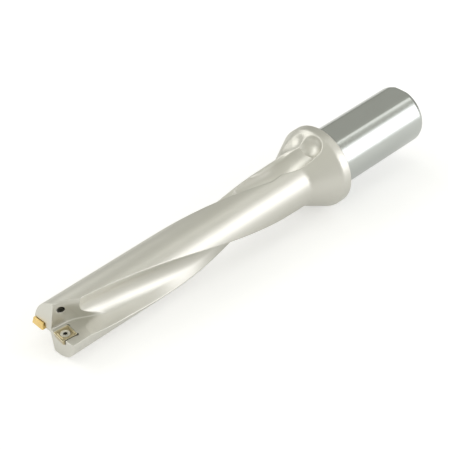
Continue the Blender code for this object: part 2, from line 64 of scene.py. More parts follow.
@dataclass(frozen=True)
class Lying:
    """How the drill's own axes lie in the frame: tilted so that collar and tip touch the ground."""

    tilt: float = math.radians(2.708)
    origin_x: float = 44.993
    origin_z: float = 17.370

    def to_frame(self, points: Array) -> Array:
        """Turn and move points from the drill's axes to the frame.

        Args:
            points: An (n, 3) array in millimetres.

        Returns:
            An (n, 3) array in metres.
        """
        cos, sin = math.cos(self.tilt), math.sin(self.tilt)
        x, y, z = points.T
        along, up = self.origin_x + x * cos - z * sin, self.origin_z + x * sin + z * cos
        return np.column_stack((along, y, up)) * MM

    def turn(self, directions: Array) -> Array:
        """Turn directions from the drill's axes to the frame's, without moving them.

        Args:
            directions: An (n, 3) array.

        Returns:
            An (n, 3) array of the same lengths.
        """
        cos, sin = math.cos(self.tilt), math.sin(self.tilt)
        x, y, z = directions.T
        return np.column_stack((x * cos - z * sin, y, x * sin + z * cos))


LYING = Lying()


def soft_max(a: Array, b: Array, width: float) -> Array:
    """The larger of two distances, rounded where they are within width of each other.

    Args:
        a: Distances to one surface.
        b: Distances to the other.
        width: How far from the edge the rounding reaches.

    Returns:
        max(a, b) plus a parabola of width that fades to nothing at its ends.
    """
    near = np.maximum(width - np.abs(a - b), 0) / width
    return np.maximum(a, b) + near * near * width / 4


def soft_min(a: Array, b: Array, width: float) -> Array:
    """The smaller of two distances with a rounded valley: soft_max of their opposites, turned back."""
    return -soft_max(-a, -b, width)


def ease(share: Array) -> Array:
    """A smooth step from 0 to 1: 3 s squared less 2 s cubed, with s held between 0 and 1."""
    held = np.clip(share, 0, 1)
    return held * held * (3 - 2 * held)


@dataclass(frozen=True)
class Flute:
    """One flute's V with a round bottom, and the round groove that goes on from it through the cone."""

    angle: float
    opening: float
    flare: float
    bottom: float

    @property
    def centre(self) -> float:
        """How far from the axis the round bottom's centre lies."""
        return (self.bottom - Body.radius * math.sin(self.opening / 2 - self.flare)) / math.sin(self.flare)


@dataclass
class Seat:
    """Where an insert sits: the middle of its top face, its turn about the face's normal, and its side."""

    side: Side
    place: Point
    turn: float
    slit: float = 0.0
    open_side: bool = False

    def to_insert(self, at: Places) -> Places:
        """Points of the drill's axes seen from the insert, where z is 0 on its top face and up is out.

        Args:
            at: Places along and across the drill, and heights.

        Returns:
            The same points along the insert's own X, Y and Z.
        """
        x, y, z = at
        cos, sin = math.cos(self.turn), math.sin(self.turn)
        dx, dy, dz = x - self.place[0], y - self.place[1], z - self.place[2]
        along, across = dx * cos + dy * sin, dy * cos - dx * sin
        return along, across * self.side.value, dz * self.side.value

    def to_drill(self, points: Array) -> Array:
        """Points of the insert's axes in the drill's: the inverse of to_insert.

        Args:
            points: An (n, 3) array in the insert's axes.

        Returns:
            An (n, 3) array in the drill's axes.
        """
        cos, sin = math.cos(self.turn), math.sin(self.turn)
        along, across, up = points[:, 0], points[:, 1] * self.side.value, points[:, 2] * self.side.value
        x, y = along * cos - across * sin, along * sin + across * cos
        return np.column_stack((x, y, up)) + np.array(self.place)


@dataclass
class Body:
    """The steel body as a field of distances: negative inside the steel and positive outside."""

    radius: float = 10.85
    tip: float = -139.1
    tip_length: float = 16.0
    neck: float = -26.0
    collar_radius: float = 17.19
    collar_front: float = -4.0
    cone_front: float = -16.8
    collar_chamfer: float = 0.35
    collar_edge: float = 0.3
    chamfer_edge: float = 0.15
    cone_foot: float = 0.5
    lead: float = 275.0
    tip_twist_share: float = 0.34
    twist_ease: float = 59.0
    flute_start: float = 13.0
    run_in: float = 22.0
    run_in_radius: float = 60.0
    run_in_height: float = 4.0
    twist_end: float = 108.0
    lift_from: float = 106.0
    lift_radius: float = 25.6
    flute_end: float = 127.5
    groove_radius: float = 6.0
    groove_start: float = 100.0
    groove_rise_from: float = 110.0
    groove_end: float = 128.5
    groove_end_radius: float = 16.9
    groove_power: float = 3.0
    groove_deeper: float = 1.0
    groove_lag: float = math.radians(4.0)
    groove_swing: float = math.radians(6.0)
    groove_melt: float = 0.4
    hollow_radius: float = 9.0
    centre_wall: float = 1.4
    outer_wall: float = 2.0
    web: float = 1.2
    gullet_turn: float = math.radians(6.5)
    gullet_straight: float = 6.5
    gullet_bend: float = 12.0
    gullet_exit: float = math.radians(31.0)
    gullet_fillet: float = 0.6
    crest_edge: float = 0.06
    crest_melt: float = 1.3
    crest_height: float = 3.0
    crest_from: float = 8.0
    crest_over: float = 3.0
    end_lean: float = 3.8
    lean_height: float = 9.0
    centre_jaw_lean: float = math.radians(4.5)
    outer_jaw_lean: float = math.radians(10.5)
    seat_gap: float = 0.25
    pocket_top: float = 0.5
    pocket_edge: float = 0.1
    relief_hole: float = 0.7
    screw_hole: float = 1.15
    screw_reach: float = 4.4
    exit_radius: float = 1.3
    exit_back: float = 5.0
    exit_height: float = 7.0
    exit_edge: float = 0.12
    exit_overrun: float = 0.35
    channel_end: Point = (10.0, 5.0, 5.6)
    bore_radius: float = 4.5
    bore_end: float = -9.0
    edge: float = 0.22
    edge_growth: float = 0.28
    edge_grows_from: float = 20.0
    edge_grows_over: float = 8.0
    insert_half: float = 3.15
    insert_thickness: float = 2.3
    insert_relief: float = math.radians(11.0)
    centre_flute: Flute = Flute(math.radians(139.3), math.radians(83.0), math.radians(45.0), 6.6)
    outer_flute: Flute = Flute(math.radians(-44.9), math.radians(78.0), math.radians(40.0), 5.6)
    hollow_ends: tuple[Point, ...] = ((-12.6, math.radians(52.0), 0.7), (-9.0, math.radians(84.0), 0.55))

    def twist(self, x: Array) -> Array:
        """How far a flute has turned at x.

        The lead's share grows in a straight line over the first stretch behind the tip, so the angle there
        is that share's integral, and after it the angle grows by one turn for each lead.

        Args:
            x: Places along the drill.

        Returns:
            Angles in radians.
        """
        along = x - self.tip
        eased = np.minimum(along, self.twist_ease)
        share = self.tip_twist_share
        gained = share * eased + (1 - share) * eased**2 / (2 * self.twist_ease)
        return 2 * np.pi / self.lead * (gained + along - eased)

    @staticmethod
    def wedge(along: Array, across: Array, apex: Array, flare: float) -> Array:
        """Distance to a wedge that opens outwards from its apex by the flare on each side.

        Args:
            along: Places along the wedge's middle line.
            across: Places beside it.
            apex: Where along the line the wedge begins.
            flare: Half the wedge's opening.

        Returns:
            0 inside the wedge, and the distance to its side or its apex outside it.
        """
        ahead, aside = along - apex, np.abs(across)
        beside = aside * math.cos(flare) - ahead * math.sin(flare)
        forward = ahead * math.cos(flare) + aside * math.sin(flare)
        return np.where(beside <= 0, 0, np.where(forward > 0, beside, np.hypot(ahead, aside)))

    def flute_field(self, flute: Flute, side: Side, at: Places) -> Array:
        """Distance to a flute: a wedge grown by the bottom's radius, turned with the helix, with a ball end.

        Each end of the wedge is lifted out of the steel by the square of the way past its lift's start,
        halved and divided by the cutter's radius. At the tip only the flank beside the gullet's floor is
        lifted, so that it sinks slowly out of that floor.

        Args:
            flute: Which flute.
            side: The cutting side that it serves.
            at: Places along and across the drill, and heights.

        Returns:
            Distances, negative inside the flute.
        """
        x, y, z = at
        low = ease((self.run_in_height - side.value * z) / self.run_in_height)
        start, end = self.tip + self.flute_start * (1 - low), self.tip + self.flute_end
        held = np.clip(x, start, end)
        angle = flute.angle + self.twist(np.minimum(held, self.tip + self.twist_end))
        lifted = np.maximum(held - self.tip - self.lift_from, 0)
        early = np.maximum(self.tip + self.run_in - held, 0)
        apex = flute.centre + lifted**2 / (2 * self.lift_radius) + low * early**2 / (2 * self.run_in_radius)
        along, across = y * np.cos(angle) + z * np.sin(angle), z * np.cos(angle) - y * np.sin(angle)
        return np.hypot(self.wedge(along, across, apex, flute.flare), x - held) - flute.bottom

    def groove_field(self, flute: Flute, at: Places) -> Array:
        """Distance to the groove behind a flute: a slot with a round bottom that rises out of the cone.

        Its bottom rises by a power of the share of the way, and its bearing swings by the same share.

        Args:
            flute: The flute that it goes on from.
            at: Places along and across the drill, and heights.

        Returns:
            Distances, negative inside the groove.
        """
        x, y, z = at
        start, end = self.tip + self.groove_start, self.tip + self.groove_end
        first = flute.centre - flute.bottom + self.groove_radius - self.groove_deeper
        held = np.clip(x, start, end)
        risen = (held - self.tip - self.groove_rise_from) / (self.groove_end - self.groove_rise_from)
        rise = np.clip(risen, 0, 1) ** self.groove_power
        angle = flute.angle - self.groove_lag + self.groove_swing * rise + self.twist(held)
        apex = first + (self.groove_end_radius - first) * rise
        along, across = y * np.cos(angle) + z * np.sin(angle), z * np.cos(angle) - y * np.sin(angle)
        return np.hypot(self.wedge(along, across, apex, 0.0), x - held) - self.groove_radius

    def hollow_field(self, at: Places) -> Array:
        """Distance to the shallow hollow beside the outer flute's groove: a thick line with round ends.

        Each of its ends is given as a place along the drill, a bearing and a depth in the cone, and lies on
        the cone's normal there, the radius less the depth above the cone.

        Args:
            at: Places along and across the drill, and heights.

        Returns:
            Distances, negative inside the hollow.
        """
        slope = math.atan2(self.collar_radius - self.radius, self.collar_front - self.cone_front)
        ends = []
        for along, angle, depth in self.hollow_ends:
            lift = self.hollow_radius - depth
            out = self.radius + (along - self.cone_front) * math.tan(slope) + lift * math.cos(slope)
            ends.append((along - lift * math.sin(slope), out * math.cos(angle), out * math.sin(angle)))
        return self.rod(ends[0], ends[1], self.hollow_radius, at)

    @staticmethod
    def rod(start: Point, end: Point, radius: float, at: Places) -> Array:
        """Distance to a straight rod with round ends: the distance to its middle line, less its radius.

        Args:
            start: Where the middle line starts.
            end: Where it ends.
            radius: The rod's radius.
            at: Places along and across the drill, and heights.

        Returns:
            Distances, negative inside the rod.
        """
        x, y, z = at
        begin, way = np.array(start), np.array(end) - np.array(start)
        share = ((x - begin[0]) * way[0] + (y - begin[1]) * way[1] + (z - begin[2]) * way[2]) / (way @ way)
        share = np.clip(share, 0, 1)
        off = [p - begin[i] - share * way[i] for i, p in enumerate(at)]
        return np.sqrt(off[0] ** 2 + off[1] ** 2 + off[2] ** 2) - radius

    def wall(self, x: Array, height: Array, foot: float) -> Array:
        """Where a gullet's wall stands across the drill: straight, then on an arc, then straight again.

        Args:
            x: Places along the drill.
            height: Heights above the gullet's floor, because the wall's end leans towards the tip.
            foot: Where the wall stands at the tip.

        Returns:
            The wall's place on the Y axis.
        """
        bend_at = self.gullet_straight - self.end_lean * ease(height / self.lean_height)
        past = x - self.tip - bend_at
        arc_length = self.gullet_bend * (math.sin(self.gullet_exit) - math.sin(self.gullet_turn))
        on_arc = np.clip(past, 0, arc_length)
        sine = math.sin(self.gullet_turn) + on_arc / self.gullet_bend
        arc = self.gullet_bend * (math.cos(self.gullet_turn) - np.sqrt(1 - sine**2))
        straight = (bend_at + np.minimum(past, 0)) * math.tan(self.gullet_turn)
        return foot - straight - arc - np.maximum(past - arc_length, 0) * math.tan(self.gullet_exit)

    def gullet_field(self, foot: float, floor: float, at: Places) -> Array:
        """Distance to the quarter cut out in front of an insert, with a fillet between floor and wall.

        Args:
            foot: Where the wall stands at the tip.
            floor: The floor's height.
            at: Places along and across the drill, and heights.

        Returns:
            Distances, negative inside the gullet.
        """
        x, y, z = at
        height = z - floor
        aside = (y - self.wall(x, np.maximum(height, 0), foot)) * math.cos(self.gullet_exit / 2)
        return soft_max(-height, aside, self.gullet_fillet)

    def pocket_field(self, seat: Seat, at: Places) -> Array:
        """Distance to an insert's seat: leaning walls with a gap, corner holes and the screw's hole.

        Args:
            seat: Where the insert sits.
            at: Places along and across the drill, and heights.

        Returns:
            Distances, negative inside the seat.
        """
        u, v, w = seat.to_insert(at)
        lean, cos = math.tan(self.insert_relief), math.cos(self.insert_relief)
        half = self.insert_half + self.seat_gap
        behind = (u - half - w * lean) * cos
        inner = (v - half - seat.slit - w * lean) * cos
        below = -w - self.insert_thickness - self.seat_gap
        walls = soft_max(behind, inner, self.pocket_edge)
        pocket = np.maximum(soft_max(walls, below, self.pocket_edge), w - self.pocket_top)
        if not seat.open_side:
            pocket = soft_max(pocket, (-v - half - w * lean) * cos, self.pocket_edge)
        corner = half - self.insert_thickness * lean
        for way in (1, -1):
            if way > 0 or not seat.open_side:
                hole = np.hypot(u - corner, v - way * corner) - self.relief_hole
                pocket = np.minimum(pocket, np.maximum(hole, below))
        hole = np.maximum(np.hypot(u, v) - self.screw_hole, -w - self.screw_reach)
        return np.minimum(pocket, np.maximum(hole, w))

    def blank_field(self, at: Places) -> Array:
        """Distance to the turned blank in front of the shank: bar, cone and collar, with its bore.

        Args:
            at: Places along and across the drill, and heights.

        Returns:
            Distances, negative inside the steel.
        """
        x, y, z = at
        out = np.hypot(y, z)
        slope = (self.collar_radius - self.radius) / (self.collar_front - self.cone_front)
        cone = (out - self.radius - (x - self.cone_front) * slope) / math.hypot(1, slope)
        collar = soft_max(cone, out - self.collar_radius, self.collar_edge)
        chamfer = (out + x - self.collar_radius + self.collar_chamfer) / math.sqrt(2)
        collar = soft_max(collar, chamfer, self.chamfer_edge)
        turned = soft_min(out - self.radius, collar, self.cone_foot)
        bore = np.maximum(out - self.bore_radius, self.bore_end - x)
        return np.maximum(np.maximum(turned, x), -bore)

    def distance(self, seats: Sequence[Seat]) -> Field:
        """The whole body's field: the blank less its flutes, grooves, gullets, seats and coolant exits.

        Args:
            seats: The two inserts' seats.

        Returns:
            A function of x, y and z in the drill's axes.
        """

        def field_of(x: Array, y: Array, z: Array) -> Array:
            """The steel's distance at places along and across the drill and at heights.

            Args:
                x: Places along the drill.
                y: Places across it.
                z: Heights.

            Returns:
                Distances, negative inside the steel.
            """
            at = (x, y, z)
            steel = self.blank_field(at)
            upper = self.gullet_field(self.centre_wall, 0.0, at)
            lower = self.gullet_field(-self.outer_wall, self.web, (x, -y, -z))
            melt = self.crest_edge + self.crest_melt * ease(
                (self.crest_height - np.abs(z)) / self.crest_height) * ease(
                (x - self.tip - self.crest_from) / self.crest_over)
            upper = soft_min(upper, self.flute_field(self.centre_flute, Side.CENTRE, at), melt)
            lower = soft_min(lower, self.flute_field(self.outer_flute, Side.OUTER, at), melt)
            grown = ease((x - self.tip - self.edge_grows_from) / self.edge_grows_over)
            edge = self.edge + self.edge_growth * grown
            upper = soft_min(upper, self.groove_field(self.centre_flute, at), self.groove_melt)
            lower = soft_min(lower, self.groove_field(self.outer_flute, at), self.groove_melt)
            for cut in (upper, lower, self.hollow_field(at)):
                steel = soft_max(steel, -cut, edge)
            faces = np.maximum(-z * math.tan(self.centre_jaw_lean), z * math.tan(self.outer_jaw_lean))
            steel = soft_max(steel, self.tip + faces - x, self.edge)
            for seat in seats:
                steel = soft_max(steel, -self.pocket_field(seat, at), self.pocket_edge)
            back = self.exit_back * math.tan(self.gullet_turn)
            for side, foot, floor in ((1, self.centre_wall, 0.0), (-1, self.outer_wall, -self.web)):
                mouth = (self.tip + self.exit_back, foot - side * back, floor + side * self.exit_height)
                along, across, up = self.channel_end
                inner = (self.tip + along, side * across, side * up)
                out = tuple(m + self.exit_overrun * (m - i) for m, i in zip(mouth, inner))
                channel = self.rod(out, inner, self.exit_radius, at)
                steel = soft_max(steel, -channel, self.exit_edge)
            return steel

        return field_of


@dataclass
class Skin:
    """A surface as vertices in the drill's axes, faces as rows of vertex numbers, and normals."""

    points: Array
    faces: Array
    normals: Array | None = None
    masks: dict[str, Array] = field(default_factory=dict)

    def to_object(self, name: str, sharp: float | None = None) -> bpy.types.Object:
        """Put the surface into a mesh object that rides on the frame's body.

        Args:
            name: The piece's name.
            sharp: Edges bent by more than this angle in radians stay sharp, or None to use the normals.

        Returns:
            The linked object.
        """
        mesh = bpy.data.meshes.new(name)
        faces = self.faces
        sizes = np.where(faces[:, -1] < 0, 3, faces.shape[1])
        flat = faces.ravel()
        flat = flat[flat >= 0]
        mesh.vertices.add(len(self.points))
        mesh.vertices.foreach_set("co", LYING.to_frame(self.points).ravel().astype(np.float32))
        mesh.loops.add(len(flat))
        mesh.loops.foreach_set("vertex_index", flat.astype(np.int32))
        mesh.polygons.add(len(faces))
        starts = np.concatenate(([0], np.cumsum(sizes)[:-1]))
        mesh.polygons.foreach_set("loop_start", starts.astype(np.int32))
        mesh.update(calc_edges=True)
        mesh.validate()
        mesh.shade_smooth()
        if sharp is not None:
            mesh.set_sharp_from_angle(angle=sharp)
        for key, values in self.masks.items():
            attribute = mesh.attributes.new(key, "FLOAT", "POINT")
            attribute.data.foreach_set("value", values.astype(np.float32))
        if self.normals is not None:
            mesh.normals_split_custom_set_from_vertices(LYING.turn(self.normals).tolist())
        made = bpy.data.objects.new(name, mesh)
        bpy.context.scene.collection.objects.link(made)
        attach(made, "root")
        return made


@dataclass
class Net:
    """Turns a field of distances into a skin of four-sided faces, one vertex to each cell it passes."""

    cell: float
    reach: float
    start: float
    end: float
    skip: int = 4
    margin: float = 1.25
    shift: float = 0.137
    batch: int = 400000
    slides: int = 3
    slide_step: float = 0.02
    normal_step: float = 0.35
    least_slope: float = 0.05

    def slope(self, distance: Field, points: Array, step: float) -> Array:
        """The field's slope at points, from differences over a step each way along X, Y and Z.

        Args:
            distance: The field.
            points: An (n, 3) array.
            step: How far each way the field is read.

        Returns:
            An (n, 3) array of slopes.
        """
        parts = []
        for axis in range(3):
            ahead, behind = points.copy(), points.copy()
            ahead[:, axis] += step
            behind[:, axis] -= step
            parts.append((distance(*ahead.T) - distance(*behind.T)) / (2 * step))
        return np.column_stack(parts)

    def sample(self, distance: Field, xs: Array, ys: Array, step: float) -> Array:
        """Read the field on a rough grid, and on the fine one only near the skin.

        Args:
            distance: The field, negative inside.
            xs: The fine grid's places along the drill.
            ys: Its places across the drill and up.
            step: The distance between two places along the drill.

        Returns:
            The fine grid of distances, with its first and last layers outside the steel.
        """
        rough_x, rough_y = xs[::self.skip], ys[::self.skip]
        rough = distance(*(a.ravel() for a in np.meshgrid(rough_x, rough_y, rough_y, indexing="ij")))
        rough = rough.reshape(len(rough_x), len(rough_y), len(rough_y)).astype(np.float32)
        near_x, near_y = (np.minimum((np.arange(n) + self.skip // 2) // self.skip, top - 1)
                          for n, top in ((len(xs), len(rough_x)), (len(ys), len(rough_y))))
        grid = rough[np.ix_(near_x, near_y, near_y)]
        close = np.argwhere(np.abs(grid) < self.skip * max(self.cell, step) * self.margin)
        for first in range(0, len(close), self.batch):
            part = close[first:first + self.batch]
            grid[tuple(part.T)] = distance(xs[part[:, 0]], ys[part[:, 1]], ys[part[:, 2]])
        grid[0] = grid[-1] = self.cell
        return grid

    @staticmethod
    def neighbours(crossed: Array, axis: int, shifts: Sequence[tuple[int, int]]) -> list[Array]:
        """The cells round grid edges: each edge's own cell, moved back along the two other axes.

        Args:
            crossed: Rows of grid numbers, one to an edge.
            axis: The axis the edges run along.
            shifts: By how many cells to move along the next axis and the one after it.

        Returns:
            One array of cells for each pair of shifts.
        """
        moved = []
        for shift_a, shift_b in shifts:
            cell = crossed.copy()
            cell[:, (axis + 1) % 3] -= shift_a
            cell[:, (axis + 2) % 3] -= shift_b
            moved.append(cell)
        return moved

    def join(self, grid: Array) -> tuple[Array, Array, Array]:
        """Put a vertex in each cell that the skin passes, and a face round each grid edge that crosses it.

        The vertex is the mean of the crossings on the cell's edges. A crossing divides its edge in the
        ratio of the distances at the edge's ends.

        Args:
            grid: The distances.

        Returns:
            The cells with a vertex, the vertices' places in cells, and the faces.
        """
        inside = grid < 0
        cells = np.array(grid.shape) - 1
        total = np.zeros((*cells, 3), dtype=np.float32)
        hits = np.zeros(tuple(cells), dtype=np.float32)
        crossings = []
        for axis in range(3):
            low = tuple(slice(None, -1) if a == axis else slice(None) for a in range(3))
            top = tuple(slice(1, None) if a == axis else slice(None) for a in range(3))
            crossed = np.argwhere(inside[low] != inside[top])
            near, far = grid[low][tuple(crossed.T)], grid[top][tuple(crossed.T)]
            place = crossed.astype(np.float32)
            place[:, axis] += near / (near - far)
            crossings.append((axis, crossed, near < 0))
            for cell in self.neighbours(crossed, axis, ((0, 0), (0, 1), (1, 0), (1, 1))):
                good = (cell >= 0).all(1) & (cell < cells).all(1)
                where = tuple(cell[good].T)
                np.add.at(total, where, place[good])
                np.add.at(hits, where, 1)
        used = np.argwhere(hits > 0)
        number = np.full(hits.shape, -1, dtype=np.int64)
        number[tuple(used.T)] = np.arange(len(used))
        mean = total[tuple(used.T)] / hits[tuple(used.T)][:, None]

        faces = []
        for axis, crossed, outwards in crossings:
            round_edge = self.neighbours(crossed, axis, ((1, 1), (0, 1), (0, 0), (1, 0)))
            quad = np.column_stack([number[tuple(np.clip(cell, 0, cells - 1).T)] for cell in round_edge])
            quad[~outwards] = quad[~outwards][:, ::-1]
            faces.append(quad[(quad >= 0).all(1)])
        return used, mean, np.concatenate(faces)

    def build(self, distance: Field) -> Skin:
        """Work out the skin.

        The vertices slide down the slope onto the skin: p less d times g over g squared. At a flat end they
        are put on the end's plane first, and slide within it.

        Args:
            distance: The field, negative inside.

        Returns:
            The skin with normals along the field's slope.
        """
        count = max(2, round((self.end - self.start) / self.cell))
        step = (self.end - self.start) / count
        xs = self.start + step * np.arange(-1, count + 2)
        ys = np.arange(-self.reach, self.reach + self.cell, self.cell) + self.shift * self.cell
        used, mean, faces = self.join(self.sample(distance, xs, ys, step))
        points = np.column_stack((xs[0] + mean[:, 0] * step, ys[0] + mean[:, 1] * self.cell,
                                  ys[0] + mean[:, 2] * self.cell)).astype(float)

        at_start, at_end = used[:, 0] == 0, used[:, 0] == len(xs) - 2
        flat = at_start | at_end
        points[at_start, 0] = self.start
        points[at_end, 0] = self.end
        loose = ~flat | (np.abs(distance(*points.T)) < self.cell)
        for _ in range(self.slides):
            moving = points[loose]
            slope = self.slope(distance, moving, self.slide_step)
            slope[flat[loose], 0] = 0
            size = np.maximum((slope**2).sum(1), self.least_slope)
            off = np.clip(distance(*moving.T) / size, -self.cell, self.cell)
            points[loose] = moving - slope * off[:, None]
        normals = self.slope(distance, points, self.normal_step * self.cell)
        inner = flat & ~loose
        normals[inner] = np.where(at_start[inner, None], (-1.0, 0.0, 0.0), (1.0, 0.0, 0.0))
        normals /= np.maximum(np.linalg.norm(normals, axis=1, keepdims=True), 1e-6)
        return Skin(points, faces, normals)


def rings_to_skin(rings: Array, closed: bool = True) -> Array:
    """Faces between rings of points that run round an axis.

    Args:
        rings: An array of shape (rows, steps, 3).
        closed: Whether the last row joins the first.

    Returns:
        Rows of four vertex numbers, with the first row's points first.
    """
    rows, steps = rings.shape[:2]
    number = np.arange(rows * steps).reshape(rows, steps)
    upper = np.roll(number, -1, axis=0) if closed else number[1:]
    lower = number if closed else number[:-1]
    return np.stack((lower, np.roll(lower, -1, 1), np.roll(upper, -1, 1), upper), -1).reshape(-1, 4)


@dataclass
class Shank:
    """The clamping shank with its flat, its tapered end edge and the coolant bore."""

    radius: float = 12.5
    length: float = 49.7
    root: float = -0.6
    taper_length: float = 1.5
    taper_depth: float = 0.6
    level: float = 11.5
    edge: float = 0.28
    bore: float = Body.bore_radius
    chamfer: float = 0.8
    steps: int = 288
    stations: int = 40
    rounds: int = 24
    sharp: float = math.radians(28.0)

    def profile(self) -> Array:
        """The line carried round the axis: outside, end face, chamfer, and back along the bore.

        Returns:
            Rows of a place along the drill and a radius.
        """
        root, end, full = self.root, self.length, self.radius
        taper, small = end - self.taper_length, full - self.taper_depth
        rows = [(root, 8.0), (root, full - 1.1), (root + 0.1, full - 0.05), (0.0, full)]
        rows += [(x, full) for x in np.linspace(2.0, taper - 0.15, self.stations)]
        rows += [(taper - 0.04, full - 0.005), (taper + 0.06, full - 0.03)]
        rows += [(taper + s * self.taper_length, full - s * self.taper_depth) for s in (0.3, 0.6, 0.9)]
        rows += [(end - 0.08, small), (end - 0.02, small - 0.07), (end, small - 0.2)]
        rows += [(end, r) for r in (10.5, 9.0, 7.5, 6.3, self.bore + self.chamfer + 0.1)]
        rows += [(end - 0.03, self.bore + self.chamfer), (end - self.chamfer, self.bore + 0.03)]
        rows += [(x, self.bore) for x in (end - self.chamfer - 0.1, 30.0, 10.0, root)]
        return np.array(rows)

    def section(self, radius: Array, bearing: Array) -> Array:
        """A circle cut by the flat, with its corners rounded.

        Along each bearing the outline is where the soft maximum of the circle's and the flat's distances
        is nothing: a few steps of r less d, starting at the circle.

        Args:
            radius: One radius for each row.
            bearing: The bearings round the axis.

        Returns:
            Distances from the axis, one row of bearings for each radius.
        """
        radius = np.asarray(radius)[:, None]
        out = np.broadcast_to(radius, (len(radius), len(bearing))).copy()
        for _ in range(self.rounds):
            out -= soft_max(out - radius, out * np.sin(bearing) - self.level, self.edge)
        return out

    def build(self) -> bpy.types.Object:
        """Carry the section along the profile.

        Returns:
            The shank's object.
        """
        profile = self.profile()
        bearing = np.linspace(0, 2 * np.pi, self.steps, endpoint=False) + np.pi / self.steps
        radius = self.section(profile[:, 1], bearing)
        x = np.broadcast_to(profile[:, :1], radius.shape)
        rings = np.stack((x, radius * np.cos(bearing), radius * np.sin(bearing)), -1)
        made = Skin(rings.reshape(-1, 3), rings_to_skin(rings)).to_object("clamping_shank", self.sharp)
        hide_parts("drill_body")
        return made


@dataclass
class Insert:
    """A square insert: honed cutting edge, chip groove, plateau with a countersunk hole, relieved flanks."""

    name: str
    seat: Seat
    side: float = 2 * Body.insert_half
    corner: float = 0.42
    corner_growth: float = 0.3
    thickness: float = Body.insert_thickness
    relief: float = Body.insert_relief
    foot_edge: float = 0.08
    hole: float = 1.3
    mouth: float = 2.0
    countersink: float = math.radians(30.0)
    plateau_radius: float = 2.35
    plateau_drop: float = 0.06
    land: float = 0.2
    groove: float = 0.88
    groove_depth: float = 0.25
    hone: float = 0.05
    steps: int = 136
    crowding: float = 1.7
    sharp: float = math.radians(32.0)

    def outline(self, half: Array, corner: Array) -> Array:
        """Rounded squares, one to each row, at even bearings that crowd towards the corners.

        A bearing t meets the square where half / max(|cos t|, |sin t|) is, and near a corner it meets the
        corner's circle, by the usual formula for a ray and a circle.

        Args:
            half: Half the side in each row.
            corner: The corner's radius in each row.

        Returns:
            Points of shape (rows, steps, 2).
        """
        share = np.linspace(0, 1, self.steps // 4, endpoint=False)
        crowded = 0.5 + 0.5 * np.sign(share - 0.5) * np.abs(2 * share - 1) ** self.crowding
        bearing = (np.pi / 2 * (crowded + np.arange(4)[:, None])).ravel()
        half, corner = (np.asarray(a, dtype=float)[:, None] for a in (half, corner))
        cos, sin = np.abs(np.cos(bearing)), np.abs(np.sin(bearing))
        flat = half / np.maximum(cos, sin)
        middle = half - corner
        along = middle * (cos + sin)
        inside = np.maximum(along**2 - 2 * middle**2 + corner**2, 0)
        round_out = along + np.sqrt(inside)
        in_corner = (np.minimum(cos, sin) * flat > middle) & (inside > 0)
        out = np.where(in_corner, round_out, flat)
        return np.stack((out * np.cos(bearing), out * np.sin(bearing)), -1)

    def squares(self) -> Array:
        """The loft's squares, up the flanks, over the honed edge and through the chip groove.

        The groove's depth is half of one less the cosine of a whole turn, and the plateau lies lower than
        the edge by a smooth step.

        Returns:
            Rows of half a side, a corner's radius, a height and the mask of the painted highlight on the
            honed edge and land.
        """
        half, lean, corner = self.side / 2, math.tan(self.relief), self.corner
        rows = [(half - self.thickness * lean - self.foot_edge, corner, -self.thickness, 0.0)]
        for height in np.linspace(-self.thickness, -self.hone, 8):
            rows.append((half + height * lean, corner, height, 0.0))
        # The hone's and the land's rows carry the mask of the painted highlight.
        for turn in (0.35, 0.75):
            in_by, down_by = self.hone * (1 - math.cos(turn)), self.hone * (1 - math.sin(turn))
            rows.append((half - in_by, corner, -down_by, 0.5))
        rows += [(half - self.hone, corner, 0.0, 1.0), (half - self.land, corner, -0.01, 1.0)]
        for share in np.linspace(0.1, 1.0, 9):
            wave = 0.5 - 0.5 * math.cos(2 * math.pi * share)
            depth = self.groove_depth * wave + self.plateau_drop * float(ease(share))
            reach = half - self.land - self.groove * share
            rows.append((reach, corner + self.corner_growth * share, -depth, 0.0))
        return np.array(rows)

    def build(self) -> bpy.types.Object:
        """Loft the squares from the hole's foot up the flanks, over the top and down through the hole.

        Returns:
            The insert's object.
        """
        squares = self.squares()
        points = self.outline(squares[:, 0], squares[:, 1])
        height = np.broadcast_to(squares[:, 2, None], points.shape[:2])
        last, plateau, hole = points[-1], squares[-1, 2], self.hole
        bearing = np.arctan2(last[:, 1], last[:, 0])
        sink = (self.mouth - hole) / math.tan(self.countersink)
        rings = list(np.dstack((points, height)))
        for radius, level, blend in (
            (self.plateau_radius, plateau, 0.5),
            (self.mouth + 0.06, plateau, 1),
            (self.mouth, plateau - 0.03, 1),
            (hole, plateau - sink, 1),
            (hole, -self.thickness + 0.1, 1),
            (hole + 0.1, -self.thickness, 1),
        ):
            circle = np.column_stack((radius * np.cos(bearing), radius * np.sin(bearing)))
            blended = circle * blend + last * (1 - blend)
            rings.append(np.column_stack((blended, np.full(self.steps, level))))
        rings = np.array(rings)
        # The honed edge and the land are painted a paler gold as a painted highlight.
        edge_highlight = np.zeros(rings.shape[:2])
        edge_highlight[:len(squares)] = squares[:, 3, None]
        placed = self.seat.to_drill(rings.reshape(-1, 3))
        skin = Skin(placed, rings_to_skin(rings), masks={"edge_highlight": edge_highlight.ravel()})
        made = skin.to_object(self.name + "_coated", self.sharp)
        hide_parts(self.name)
        return made


